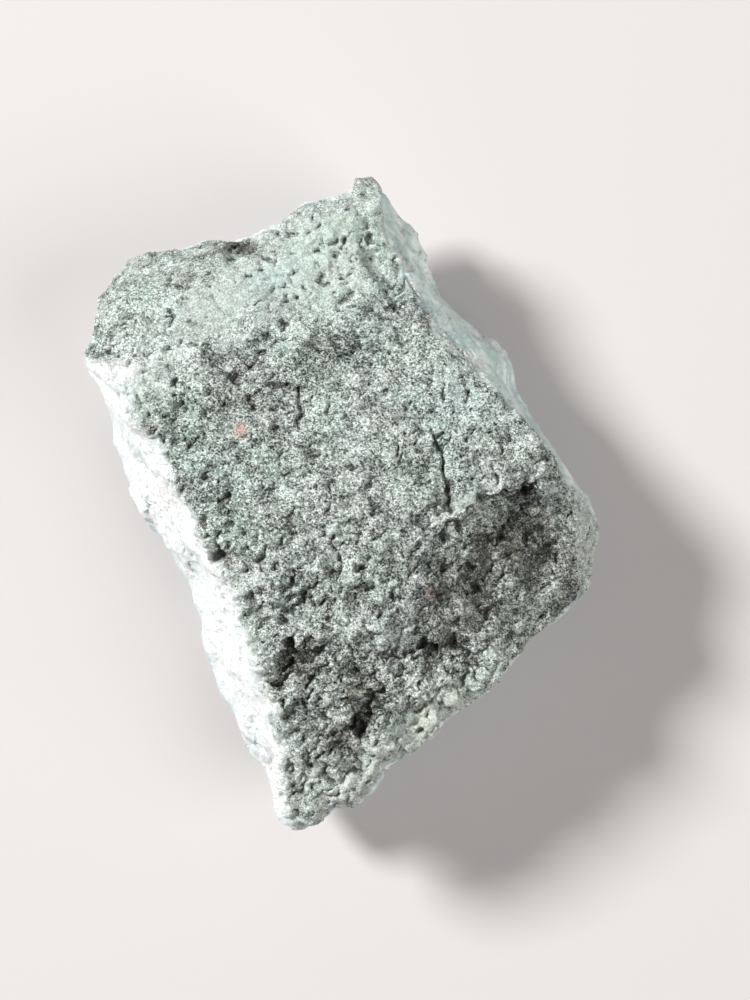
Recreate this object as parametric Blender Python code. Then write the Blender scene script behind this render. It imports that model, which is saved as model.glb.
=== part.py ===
"""A rough larimar stone, built as the one piece of rock that it is.

The stone lies with its weathered matrix face up. Its body is a loft of three outlines seen from above: the edge of
the underside, the girdle where its sides are widest, and the rim round the matrix face. Broken faces, each given by
its dip as a geologist would, set the heights of the matrix face and of the underside. Hollows, ledges, cracks, pits,
lumps and chips are then carved into a fine mesh, which is set down flat on its foot and thinned.

The frame: +Z is up, the origin is at the middle of the bounding box on the surface that the stone rests on, and the
longest extent runs along Y. Sizes and places in this file are millimetres, and MM turns them into Blender's metres.
"""

import math

import bmesh
import bpy
from mathutils import Vector, noise

MM = 0.001

# The loft
RAYS = 240  # points round each ring
WALL_RINGS = 12  # rings up the wall, from the girdle to the rim
UNDERCUT_RINGS = 6  # rings from the edge of the underside out to the girdle
FACE_RINGS = 20  # rings across the matrix face, and across the underside
RIM_DETAIL = 13  # rays over which the rim's jags are evened out further down the wall
RIM_GRIP = 7  # the higher, the nearer to the rim its jags stay
AXIS = Vector((0.5, 0.0))  # every outline is a star seen from this upright axis

# Outlines, clockwise from the peak at the far end. Only the girdle states its heights, as (x, y, z): the broken
# faces below set those of the other two.
RIM = [
    (2.6, 33.4), (3.9, 32.6), (4.9, 30.5), (4.8, 28.4), (5.6, 26.7), (6.4, 25.0), (7.0, 22.5), (8.0, 20.7),
    (9.9, 17.1), (11.8, 15.7), (13.3, 13.9), (15.8, 12.6), (17.3, 10.6), (19.3, 8.6), (21.6, 5.8), (22.8, 4.4),
    (23.5, 1.3), (24.5, -1.2), (24.4, -4.2), (24.6, -7.3), (23.8, -9.8), (22.5, -11.6), (20.7, -12.9),
    (18.1, -15.3), (15.7, -17.9), (13.9, -20.1), (10.6, -23.0), (6.4, -26.1), (3.1, -29.3), (1.6, -30.5),
    (-0.4, -31.0), (-3.3, -33.1), (-4.9, -33.2), (-6.4, -32.5), (-7.3, -30.0), (-7.1, -25.1), (-7.5, -20.7),
    (-9.2, -15.6), (-11.1, -8.9), (-13.4, -6.2), (-14.9, -3.2), (-18.2, 3.3), (-18.7, 5.6), (-21.6, 8.7),
    (-21.6, 11.0), (-22.9, 12.6), (-25.8, 14.0), (-26.5, 15.1), (-25.5, 16.4), (-25.0, 17.6), (-25.1, 19.1),
    (-25.2, 20.7), (-24.4, 22.0), (-22.7, 22.9), (-21.9, 24.1), (-20.3, 25.4), (-18.7, 26.0), (-16.3, 26.3),
    (-14.5, 26.8), (-13.1, 27.0), (-11.7, 26.8), (-10.7, 26.3), (-9.6, 27.0), (-8.5, 27.8), (-7.6, 28.0),
    (-5.4, 29.3), (-3.5, 30.6), (-0.6, 31.2), (0.4, 31.5), (1.6, 32.6),
]
GIRDLE = [
    (2.6, 32.3, 10.5), (5.5, 31.3, 8.5), (6.7, 29.2, 7.0), (8.5, 27.2, 6.0), (9.5, 24.6, 5.5), (9.9, 22.9, 6.0),
    (11.5, 21.4, 6.5), (14.0, 18.7, 6.0), (16.4, 17.1, 6.0), (17.6, 15.8, 5.5), (18.4, 13.2, 6.0),
    (19.4, 10.2, 7.0), (22.1, 6.4, 8.5), (23.4, 4.8, 9.0), (24.0, 2.6, 9.5), (25.5, 0.7, 10.0), (26.6, -1.4, 10.0),
    (26.9, -3.4, 9.5), (26.2, -5.1, 9.5), (26.3, -7.4, 9.0), (25.5, -9.5, 8.5), (23.4, -11.9, 8.0), (20.2, -13.2, 7.5),
    (16.6, -15.3, 7.5), (12.8, -18.2, 7.0), (8.6, -21.5, 6.5), (4.0, -25.0, 6.5), (0.0, -28.2, 6.5),
    (-4.6, -32.1, 8.0), (-6.9, -30.0, 7.0), (-9.8, -25.9, 5.5), (-12.9, -20.1, 5.0), (-13.9, -16.0, 5.0),
    (-14.2, -12.3, 5.5), (-15.6, -7.9, 5.5), (-18.8, -4.4, 5.0), (-19.6, -2.6, 5.0), (-21.6, 0.3, 5.0),
    (-23.5, 4.7, 5.5), (-24.8, 8.7, 6.0), (-26.0, 10.8, 7.0), (-26.8, 13.4, 9.5), (-25.9, 15.6, 10.0),
    (-25.0, 18.5, 10.0), (-23.4, 22.6, 10.0), (-18.8, 25.2, 9.5), (-12.9, 26.1, 9.0), (-8.4, 27.0, 9.0),
    (-4.0, 29.3, 9.5), (0.2, 31.0, 10.0),
]
FOOT = [
    (2.5, 26.5), (6.5, 22.5), (10.5, 16.5), (15.0, 11.0), (18.0, 5.0), (21.5, -1.0), (20.5, -6.5), (14.5, -11.0),
    (8.0, -17.0), (0.5, -23.5), (-5.0, -26.0), (-9.0, -21.5), (-11.5, -14.0), (-12.5, -8.0), (-17.0, -1.0),
    (-20.5, 7.0), (-21.5, 13.5), (-18.0, 19.5), (-10.0, 21.0), (-3.0, 24.5),
]

# Broken faces: a point on the face, the way it falls (degrees from +X, towards +Y) and its dip in degrees.
MATRIX_FACES = {
    "crown": ((0.0, 0.0, 21.0), 300.0, 1.5),
    "far slope": ((0.0, 13.0, 20.6), 76.0, 14.0),
    "left slope": ((-11.0, 0.0, 20.6), 192.0, 11.0),
    "right slope": ((12.0, 8.0, 20.2), 18.0, 13.0),
    "far left facet": ((-17.0, 21.7, 18.6), 119.0, 47.0),
    "near right facet": ((13.6, -7.0, 19.6), 326.0, 24.0),
    "near tip": ((-3.0, -18.0, 19.8), 264.0, 17.0),
}
# The underside: a level foot, and faces that rise from it the way that they are said to fall.
UNDER_FACES = {
    "foot": ((0.0, 0.0, 0.0), 0.0, 0.0),
    "near rise": ((-2.0, -13.0, 0.0), 262.0, 11.0),
    "near right rise": ((9.0, -9.0, 0.0), 318.0, 15.0),
    "left rise": ((-11.0, -2.0, 0.0), 200.0, 12.0),
    "far left rise": ((-9.0, 14.0, 0.0), 118.0, 17.0),
    "far right rise": ((8.0, 12.0, 0.0), 38.0, 14.0),
}
RIDGE_ROUNDING = 0.5  # how softly two broken faces meet
RIM_DROP = 0.9  # how far the matrix face rounds over at its rim
RIM_WIDTH = 0.07  # the share of the way in from the rim that it does so

# Hollows in the matrix face: the middle, the reach along and across, the turn in degrees, and the depth
HOLLOWS = {
    "far middle": ((-9.0, 13.5), (7.5, 3.6), 128.0, 0.9),
    "near left": ((-4.6, -15.8), (4.0, 1.8), 42.0, 1.5),
    "near right": ((6.8, -14.2), (4.6, 3.2), 60.0, 1.0),
    "far right groove": ((4.6, 23.0), (5.6, 1.5), 122.0, 1.5),
    "far left notch": ((-10.4, 26.0), (2.8, 1.5), 70.0, 2.4),
    "left corner": ((-23.8, 16.6), (1.8, 1.2), 20.0, 0.9),
    "left dip": ((-16.5, 7.5), (5.5, 2.8), 110.0, 0.6),
}
# Ledges: the points along the lip, walked with the low side on the right, the drop, how far the low ground runs
# level from the lip, and how far until it has come up again
LEDGES = {
    "right": (
        ((8.2, -4.8), (9.4, -2.6), (11.5, -1.6), (13.2, 0.2), (15.1, 1.0), (19.0, 1.7), (23.4, 2.6)),
        1.7, 2.0, 11.0,
    ),
}
LEDGE_FACE = 0.9  # how wide the steep face of a ledge is, seen from above
LEDGE_END = 3.0  # how far past its last point a ledge dies out
# Cracks: the points along the crack, its half width and its depth
CRACKS = {
    "middle right": (((10.4, 6.6), (9.9, 4.2), (10.2, 1.6), (10.7, -1.2)), 1.3, 0.7),
    "middle": (((-1.2, -3.8), (-0.4, -4.8), (-0.5, -7.3)), 1.2, 0.6),
    "far left": (((-12.6, 14.4), (-11.2, 13.0), (-10.2, 11.4)), 1.2, 0.6),
    "far middle": (((-4.4, 11.0), (-4.0, 9.4), (-4.4, 7.6)), 1.2, 0.4),
    "near middle": (((2.6, -20.0), (1.8, -22.2), (2.4, -24.6)), 1.2, 0.7),
}
# Pits, and lumps with a negative depth, as (x, y), radius, depth
PITS = [
    ((-12.3, -5.1), 1.3, 1.6), ((-5.4, -14.0), 1.2, 1.1), ((-2.4, -14.6), 1.3, 1.0), ((-5.8, -18.0), 1.3, 1.0),
    ((5.0, -10.4), 1.3, 0.9), ((7.8, -13.6), 1.2, 1.0), ((9.0, -14.3), 1.2, 1.0), ((0.7, -16.8), 1.3, 0.9),
    ((3.6, -18.3), 1.3, 1.0), ((18.6, 1.5), 1.4, 1.2), ((19.6, -6.6), 1.5, 1.0), ((21.2, -5.0), 1.3, 0.9),
    ((-2.4, -25.4), 1.2, 0.8), ((-18.8, 15.5), 1.2, 0.8), ((-15.6, 16.2), 1.2, 0.7), ((3.2, 24.8), 1.3, 1.0),
]
LUMPS = [
    ((9.1, -22.0), 2.0, 0.8), ((6.6, -20.0), 1.7, 0.5), ((4.4, -21.7), 1.5, 0.5), ((4.6, -25.2), 2.0, 0.8),
    ((7.8, -17.6), 1.8, 0.5), ((11.6, -19.2), 1.9, 0.7), ((14.6, -16.4), 1.8, 0.6), ((7.4, 12.2), 4.2, 0.7),
    ((1.2, -28.6), 1.8, 0.6), ((-3.4, -29.6), 2.0, 0.6), ((24.0, -4.4), 2.4, 0.7), ((0.8, 29.2), 1.8, 0.6),
]

# Relief that covers the stone, by the width of its swells and by how far it reaches either way
SWELL = (13.0, 0.8)
LUMPINESS = (4.4, 0.8)
GRIT = (2.1, 0.42)
WALL_SHARE = 0.35  # how much of the lumps and grit the smooth sides have
FAR_ROUGHNESS = 0.65  # the matrix is finer at the far end
NEAR_ROUGHNESS = 1.25
SPLINTERS = (1.8, 9.0, 0.25)  # upright splinters on the sides: their width, length and depth
CHIP_SIZE = 9.0  # width of the shell-shaped chips on the smooth sides and underneath
CHIP_DEPTH = 2.6
FACING_UP = 0.5  # the upward part of a normal past which the surface is matrix

FINE_VOXEL = 0.75  # mesh width while the stone is carved
FLOOR_CUT = 0.55  # how much of the underside's relief the level foot takes away
FOOT_DRESSING = 0.05  # and how much more once the mesh is thinned, to level the foot again
TRIANGLES = 8400

STONE_GREY = (0.36, 0.42, 0.39, 1.0)


def broken_height(x, y, faces, side):
    """The height of the lowest of these faces (side -1) or of the highest (side 1), with rounded ridges."""
    total = 0.0
    for (px, py, pz), bearing, dip in faces.values():
        bearing = math.radians(bearing)
        along = (x - px) * math.cos(bearing) + (y - py) * math.sin(bearing)
        height = pz + side * along * math.tan(math.radians(dip))
        total += math.exp(side * height / RIDGE_ROUNDING)
    return side * RIDGE_ROUNDING * math.log(total)


def matrix_height(x, y):
    return broken_height(x, y, MATRIX_FACES, -1)


def underside_height(x, y):
    return broken_height(x, y, UNDER_FACES, 1)


def on_ray(outline, angle):
    """Where an outline crosses the ray that leaves the axis at this angle."""
    ray = Vector((math.cos(angle), math.sin(angle)))
    for here, there in zip(outline, outline[1:] + outline[:1]):
        start = Vector(here[:2]) - AXIS
        edge = Vector(there[:2]) - Vector(here[:2])
        across = ray.cross(edge)
        if abs(across) < 1e-9:
            continue
        share = start.cross(ray) / across
        reach = start.cross(edge) / across
        if reach > 0 and -1e-9 <= share <= 1 + 1e-9:
            return Vector(here).lerp(Vector(there), share)
    raise ValueError(f"the outline is open at {math.degrees(angle):.0f} degrees")


def ring_of(outline, height=None, drop=0.0):
    """The outline as one point on each ray. height, where it is given, is the surface that the ring lies on."""
    ring = [on_ray(outline, math.tau * step / RAYS) for step in range(RAYS)]
    if height is None:
        return ring
    return [Vector((p.x, p.y, height(p.x, p.y) - drop)) for p in ring]


def evened(ring):
    """The ring with its jags averaged away."""
    reach = range(-RIM_DETAIL, RIM_DETAIL + 1)
    return [sum((ring[(here + k) % RAYS] for k in reach), Vector((0, 0, 0))) / len(reach) for here in range(RAYS)]


def rings_across(edge, height, drop=0.0):
    """Rings from an outline in towards the axis, on the surface that height gives. The outermost round over."""
    rings = []
    for step in range(1, FACE_RINGS):
        inwards = (step / FACE_RINGS) ** 1.3
        rounding = drop * max(0.0, 1.0 - inwards / RIM_WIDTH) ** 2
        ring = []
        for point in edge:
            x, y = point.xy.lerp(AXIS, inwards)
            ring.append(Vector((x, y, height(x, y) - rounding)))
        rings.append(ring)
    return rings


def rings_up_the_wall(girdle, rim):
    """Rings from the girdle to just below the rim. The rim's jags fade out down the wall."""
    soft_rim = evened(rim)
    rings = []
    for step in range(WALL_RINGS):
        share = step / WALL_RINGS
        rings.append([
            low.lerp(soft, share) + (high - soft) * share ** RIM_GRIP for low, soft, high in zip(girdle, soft_rim, rim)
        ])
    return rings


def lofted_blank():
    """The stone before it is carved, as a bmesh in millimetres."""
    under_edge = ring_of(FOOT, underside_height)
    girdle = ring_of(GIRDLE)
    rim = ring_of(RIM, matrix_height, RIM_DROP)
    rings = rings_across(under_edge, underside_height)[::-1]
    for step in range(UNDERCUT_RINGS):
        rings.append([low.lerp(high, step / UNDERCUT_RINGS) for low, high in zip(under_edge, girdle)])
    rings += rings_up_the_wall(girdle, rim)
    rings.append(rim)
    rings += rings_across(rim, matrix_height, RIM_DROP)

    bm = bmesh.new()
    loops = [[bm.verts.new(p) for p in ring] for ring in rings]
    for lower, upper in zip(loops, loops[1:]):
        for here in range(RAYS):
            there = (here + 1) % RAYS
            bm.faces.new((lower[here], lower[there], upper[there], upper[here]))
    for loop, height in ((loops[0], underside_height), (loops[-1], matrix_height)):
        pole = bm.verts.new((AXIS.x, AXIS.y, height(AXIS.x, AXIS.y)))
        for here in range(RAYS):
            bm.faces.new((loop[here], loop[(here + 1) % RAYS], pole))
    bmesh.ops.recalc_face_normals(bm, faces=bm.faces)
    return bm


def after_modifier(bm, kind, **settings):
    """The bmesh that one of Blender's modifiers makes of this one, which is freed."""
    mesh = bpy.data.meshes.new("work")
    bm.to_mesh(mesh)
    bm.free()
    work = bpy.data.objects.new("work", mesh)
    bpy.context.scene.collection.objects.link(work)
    modifier = work.modifiers.new("work", kind)
    for name, value in settings.items():
        setattr(modifier, name, value)
    evaluated = work.evaluated_get(bpy.context.evaluated_depsgraph_get())
    result = bmesh.new()
    result.from_mesh(evaluated.to_mesh())
    bpy.data.objects.remove(work)
    bpy.data.meshes.remove(mesh)
    return result


def bowl(distance):
    """1 at the middle of a hollow, falling to 0 at its edge, where distance is 1."""
    return max(0.0, 1.0 - distance * distance) ** 1.5


def smooth_step(low, high, value):
    share = min(1.0, max(0.0, (value - low) / (high - low)))
    return share * share * (3.0 - 2.0 * share)


def hollow_depth(x, y):
    depth = 0.0
    for (cx, cy), (reach_along, reach_across), turn, deepest in HOLLOWS.values():
        cosine, sine = math.cos(math.radians(turn)), math.sin(math.radians(turn))
        along = ((x - cx) * cosine + (y - cy) * sine) / reach_along
        across = ((y - cy) * cosine - (x - cx) * sine) / reach_across
        depth += deepest * bowl(math.hypot(along, across))
    return depth


def nearest_run(points, here):
    """(distance, place to the right of the line, how far past either end) of a point, by its nearest stretch."""
    best = None
    last = len(points) - 2
    for number, (start, end) in enumerate(zip(points, points[1:])):
        start, end = Vector(start), Vector(end)
        run = end - start
        share = (here - start).dot(run) / run.length_squared
        distance = (here - start - run * min(1.0, max(0.0, share))).length
        to_the_right = (here - start).cross(run) / run.length
        past = 0.0
        if number == 0:
            past = max(past, -share * run.length)
        if number == last:
            past = max(past, (share - 1.0) * run.length)
        if best is None or distance < best[0]:
            best = (distance, to_the_right, past)
    return best


def ledge_depth(x, y):
    depth = 0.0
    for points, drop, level, recovered in LEDGES.values():
        _, low_side, past = nearest_run(points, Vector((x, y)))
        dying = 1.0 - smooth_step(0.0, LEDGE_END, past)
        depth += drop * dying * smooth_step(0.0, LEDGE_FACE, low_side) * (1.0 - smooth_step(level, recovered, low_side))
    return depth


def crack_depth(x, y):
    cracks = CRACKS.values()
    return max(d * bowl(nearest_run(points, Vector((x, y)))[0] / half_width) for points, half_width, d in cracks)


def spot_depth(x, y, spots):
    return sum(depth * bowl(math.hypot(x - cx, y - cy) / radius) for (cx, cy), radius, depth in spots)


def relief(place, swell):
    size, height = swell
    return height * noise.noise(place / size)


def splinter(place):
    """Upright splinters, as where a fibrous mineral has broken along its fibres."""
    width, length, depth = SPLINTERS
    return depth * noise.noise(Vector((place.x / width, place.y / width, place.z / length)))


def chip(place):
    """How deep a shell-shaped chip is here. Chips meet in sharp ridges."""
    nearest = noise.voronoi(place / CHIP_SIZE)[0][0]
    return CHIP_DEPTH * max(0.0, 0.62 - nearest) ** 1.5


def carve(bm):
    """Moves each point of the fine mesh by the relief, hollows, ledges, cracks, pits, lumps and chips."""
    bm.normal_update()
    moves = []
    for vert in bm.verts:
        place, normal = vert.co, vert.normal
        x, y = place.x, place.y
        matrix = smooth_step(FACING_UP - 0.15, FACING_UP + 0.15, normal.z)
        roughness = FAR_ROUGHNESS + (NEAR_ROUGHNESS - FAR_ROUGHNESS) * smooth_step(20.0, -20.0, y)
        rough = relief(place, LUMPINESS) + relief(place, GRIT)
        outwards = relief(place, SWELL) + rough * (WALL_SHARE + (roughness - WALL_SHARE) * matrix)
        outwards += (splinter(place) - chip(place)) * (1.0 - matrix)
        down = hollow_depth(x, y) + ledge_depth(x, y) + crack_depth(x, y)
        down += spot_depth(x, y, PITS) - spot_depth(x, y, LUMPS)
        moves.append(normal * outwards - Vector((0.0, 0.0, down * matrix)))
    for vert, move in zip(bm.verts, moves):
        vert.co += move


def cut_foot(bm, height):
    """Lowers the stone by this height and flattens what would lie below the ground into its foot, at Z = 0."""
    for vert in bm.verts:
        vert.co.z = max(0.0, vert.co.z - height)


def centre(bm):
    """Moves the middle of the bounding box, seen from above, to the origin."""
    for axis in range(2):
        places = [vert.co[axis] for vert in bm.verts]
        middle = (min(places) + max(places)) / 2
        for vert in bm.verts:
            vert.co[axis] -= middle


def stone_material():
    material = bpy.data.materials.new("larimar_in_matrix")
    material.use_nodes = True
    surface = material.node_tree.nodes["Principled BSDF"]
    surface.inputs["Base Color"].default_value = STONE_GREY
    surface.inputs["Roughness"].default_value = 0.8
    surface.inputs["Metallic"].default_value = 0.0
    return material


def make_stone():
    bm = after_modifier(lofted_blank(), "REMESH", mode="VOXEL", voxel_size=FINE_VOXEL)
    carve(bm)
    cut_foot(bm, FLOOR_CUT)
    bmesh.ops.triangulate(bm, faces=bm.faces)
    bm = after_modifier(bm, "DECIMATE", ratio=TRIANGLES / len(bm.faces))
    cut_foot(bm, FOOT_DRESSING)
    centre(bm)
    bmesh.ops.scale(bm, vec=(MM, MM, MM), verts=bm.verts)

    mesh = bpy.data.meshes.new("larimar_stone")
    bm.to_mesh(mesh)
    bm.free()
    mesh.materials.append(stone_material())
    stone = bpy.data.objects.new("larimar_stone", mesh)
    bpy.context.scene.collection.objects.link(stone)


for leftover in list(bpy.data.objects):
    bpy.data.objects.remove(leftover)
make_stone()
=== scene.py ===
"""A rough larimar stone: pale blue pectolite under a granular grey-green face of matrix.

The stone's solid is copied, remeshed finely and carved again with the grain, pits, cracks and ledges that
are too small for the solid. Masks worked out on the way are kept as attributes, and the material reads them.
Sizes, places and reaches in the tables are millimetres and turns are degrees: the mesh is worked on in
millimetres and scaled down at the end. Places are (x, y) seen from above, with the peak towards +y.
"""

import math

import bmesh
import bpy
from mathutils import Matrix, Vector, geometry, noise


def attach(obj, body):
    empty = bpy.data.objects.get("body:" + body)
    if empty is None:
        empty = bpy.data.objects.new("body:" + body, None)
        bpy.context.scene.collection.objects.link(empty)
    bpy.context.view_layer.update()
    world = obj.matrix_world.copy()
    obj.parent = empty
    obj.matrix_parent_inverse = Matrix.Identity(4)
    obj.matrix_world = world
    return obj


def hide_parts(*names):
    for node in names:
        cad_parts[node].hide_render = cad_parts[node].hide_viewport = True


MM = 0.001
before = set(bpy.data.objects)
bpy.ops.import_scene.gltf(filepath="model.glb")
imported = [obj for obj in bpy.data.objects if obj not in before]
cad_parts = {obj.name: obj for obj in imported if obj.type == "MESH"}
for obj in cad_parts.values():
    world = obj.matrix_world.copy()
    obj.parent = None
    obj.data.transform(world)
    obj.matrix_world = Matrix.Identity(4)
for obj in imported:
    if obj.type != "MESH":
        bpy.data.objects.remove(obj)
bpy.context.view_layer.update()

# ----------------------------------------------------------------------------------------------------------
# The fine mesh

SAME_PLACE = 0.001  # corners of the solid this close together are one
VOXEL = 0.46  # width of the fine mesh, whose squares are cut in nine where matrix may lie
FINER_ABOVE = 8.0  # those squares lie above this height
FINER_SLOPE = 0.3  # and face up by at least this much
TRIANGLES = 190000  # what the mesh is thinned out to once it is carved
SHRINK_AND_SWELL = (0.6, -0.63)  # what one round of smoothing is made of
SMOOTHING = 12  # rounds that take the solid's facets away
SMOOTHING_CUTS = 2  # and the marks of the squares that were cut
UNFOLDING = 5  # rounds that open out folds in the carved mesh
FOLDED = math.radians(120)  # how sharply an edge turns where the mesh counts as folded

# Where the outline is pulled out of the solid's: place, reach, how far along x and y, and below what height
PULLS = [
    ((2.0, 32.0), 4.5, (0.3, 0.8), 30), ((7.5, 26.0), 5.5, (1.5, 0.5), 13),
    ((-22.8, 23.6), 5.0, (-0.4, 0.4), 30), ((-2.5, 30.3), 4.5, (-0.1, 0.4), 30),
    ((15.5, 16.0), 5.0, (0.5, 0.4), 13), ((24.5, -9.0), 4.5, (0.5, -0.4), 30),
    ((-24.0, 5.0), 5.0, (0.5, 0.2), 13), ((-9.0, -28.0), 4.5, (0.45, 0.2), 13),
    ((-5.0, -31.5), 5.0, (0.0, -1.0), 13.5),
]
PULL_FADES = 3.0  # how much higher a pull has faded away

# ----------------------------------------------------------------------------------------------------------
# Where the matrix lies

# Where it ends, seen from above, clockwise from the peak. Outside it the sides are bare pectolite.
MATRIX_EDGE = [
    (3.6, 34.6), (4.0, 32.4), (4.4, 30.6), (4.1, 28.5), (5.0, 26.7), (6.0, 25.7), (6.1, 24.2), (6.8, 22.4),
    (7.9, 20.6), (8.9, 18.9), (9.9, 17.0), (10.8, 16.4), (11.8, 15.6), (12.7, 15.1), (13.3, 13.8),
    (14.7, 12.9), (15.8, 12.5), (16.5, 11.8), (17.3, 10.5), (18.6, 9.4), (21.3, 6.4), (23.6, 4.0),
    (25.5, 1.6), (27.5, -1.0), (28.0, -8.0), (23.0, -14.0), (8.0, -26.0), (0.0, -33.0), (-4.6, -33.4),
    (-5.6, -31.8), (-6.9, -26.9), (-6.9, -25.1), (-7.4, -21.6), (-7.6, -19.4), (-9.2, -15.6),
    (-10.1, -12.7), (-11.1, -8.9), (-13.4, -6.2), (-14.9, -3.2), (-16.4, 0.3), (-18.2, 3.3), (-18.7, 5.6),
    (-20.3, 7.1), (-21.8, 8.9), (-21.2, 13.3), (-25.4, 13.5), (-27.6, 15.5), (-27.4, 19.0), (-26.0, 23.0),
    (-21.0, 28.0), (-8.0, 30.0), (0.0, 36.0),
]
EDGE_FRAY = 1.1  # how far that edge wanders
EDGE_FRAY_SIZE = 2.2  # and over what length
EDGE_OUTSIDE = 0.9  # how far outside the edge the two stones mingle
EDGE_INSIDE = EDGE_OUTSIDE * 1.3  # and how far inside it
EDGE_NEAR = 1.0  # how far off a stretch of the edge is still measured
# How much further out a wall or an undercut counts than the face above it, so that it stays bare below a rim:
# the upward part of its normal where that starts, where it is whole, and how far it is
WALL_SHIFTS = [(0.5, 0.1, 2.6), (0.1, -0.3, 5.0)]
BARE_BELOW = 1.0  # there is no matrix under this height
BARE_SLOPE = -0.5  # or where the stone faces down by more than this
MATRIX_FLOOR = 12.2  # how low the matrix reaches
RIGHT_MATRIX_FLOOR = 4.5  # and how low it reaches at the lower right, where it coats the side too
FLOOR_FADE = 0.6  # how far up and down from there it fades
RIGHT = Vector((0.8, -0.6))  # from the middle of the stone to its lower right
RIGHT_STARTS, RIGHT_WHOLE = 0.60, 0.85  # how nearly a place lies that way
# Its lower end is ragged by a wide swell, twice as high at the lower right, and a narrow one: width, height
FLOOR_SWELLS = [(3.0, 2.0), (1.1, 1.2)]
LINKED = 0.3  # the share of matrix that links a point with the matrix beside it

# ----------------------------------------------------------------------------------------------------------
# The relief of the matrix

# Pits: place, radius across, depth, how far it is drawn out, and the turn of that
PITS = [
    ((-12.3, -5.2), 0.58, 1.0, 1.5, 80), ((-12.0, -6.4), 0.39, 0.6, 1.3, 20),
    ((-5.3, -14.1), 0.51, 0.8, 1.3, 40), ((-2.4, -14.7), 0.47, 0.7, 1.8, 25),
    ((-4.6, -15.6), 0.62, 0.5, 2.4, 42), ((-4.9, -17.0), 0.43, 0.7, 2.0, 45),
    ((-6.1, -18.4), 0.35, 0.4, 2.2, 40), ((-5.9, -20.2), 0.31, 0.6, 1.8, 100),
    ((-5.0, -7.5), 0.35, 0.6, 1.6, 60), ((-5.1, -9.5), 0.31, 0.5, 1.4, 40),
    ((-5.6, -10.6), 0.39, 0.6, 1.2, 90), ((-1.5, -11.6), 0.31, 0.5, 1.6, 140),
    ((4.8, -9.4), 0.39, 0.6, 2.2, 95), ((5.4, -11.0), 0.43, 0.7, 1.9, 110),
    ((4.6, -12.2), 0.35, 0.4, 1.4, 10), ((7.7, -13.7), 0.47, 0.7, 1.3, 30),
    ((8.9, -14.5), 0.47, 0.8, 1.2, 0), ((7.2, -15.4), 0.39, 0.5, 1.5, 60),
    ((0.8, -14.6), 0.39, 0.6, 1.6, 130), ((1.9, -15.2), 0.39, 0.5, 1.2, 60),
    ((0.7, -17.0), 0.43, 0.7, 1.5, 50), ((1.6, -18.1), 0.39, 0.6, 1.2, 20),
    ((3.7, -18.3), 0.47, 0.7, 1.5, 70), ((2.5, -20.4), 0.31, 0.7, 2.4, 95),
    ((1.7, -22.6), 0.35, 0.7, 2.6, 95), ((3.3, -23.9), 0.35, 0.6, 2.0, 110),
    ((-2.5, -25.4), 0.39, 0.6, 1.3, 40), ((18.3, 1.5), 0.38, 0.8, 1.5, 20),
    ((16.0, -1.6), 0.39, 0.6, 1.3, 150), ((16.8, -2.2), 0.31, 0.5, 1.2, 20),
    ((18.4, -4.0), 0.39, 0.6, 1.3, 100), ((20.7, -4.5), 0.55, 0.8, 1.3, 40),
    ((21.6, -5.4), 0.35, 0.6, 1.5, 120), ((19.1, -5.0), 0.31, 0.5, 1.3, 60),
    ((12.7, -6.3), 0.39, 0.5, 1.2, 10), ((13.4, -8.3), 0.47, 0.5, 1.6, 110),
    ((18.6, -8.8), 0.39, 0.5, 1.4, 20), ((18.4, -10.9), 0.31, 0.5, 2.2, 80),
    ((12.4, -15.2), 0.47, 0.5, 1.3, 40), ((6.1, -3.1), 0.39, 0.5, 1.5, 30),
    ((1.6, -6.2), 0.39, 0.6, 1.8, 15), ((3.4, -5.6), 0.31, 0.4, 1.3, 160),
    ((-1.4, 9.4), 0.31, 0.5, 1.5, 60), ((-17.7, 15.4), 0.39, 0.5, 1.5, 30),
    ((-14.9, 15.9), 0.35, 0.5, 1.3, 20), ((-10.7, 18.4), 0.31, 0.4, 1.3, 120),
    ((1.9, 15.3), 0.31, 0.4, 1.6, 140), ((-4.6, 20.5), 0.39, 0.5, 1.2, 80),
    ((-0.8, 24.8), 0.55, 0.6, 1.4, 110), ((0.2, 26.4), 0.47, 0.5, 1.3, 30),
    ((2.8, 26.6), 0.47, 0.6, 1.3, 60), ((2.6, 27.9), 0.47, 0.5, 1.6, 120),
    ((-2.2, 23.0), 0.47, 0.5, 1.8, 100), ((16.6, 6.6), 0.31, 0.4, 1.3, 30),
    ((14.6, 3.5), 0.31, 0.4, 1.2, 60), ((18.9, 4.6), 0.39, 0.5, 1.6, 110),
    ((-21.5, 13.8), 0.39, 0.5, 1.4, 30), ((-14.0, -2.0), 0.28, 0.4, 2.2, 100),
    ((-13.8, 2.6), 0.28, 0.4, 2.4, 110), ((14.5, -11.2), 0.39, 0.4, 1.5, 100),
]
PIT_SIDES = 0.6  # the smaller, the steeper a pit's sides

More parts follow.
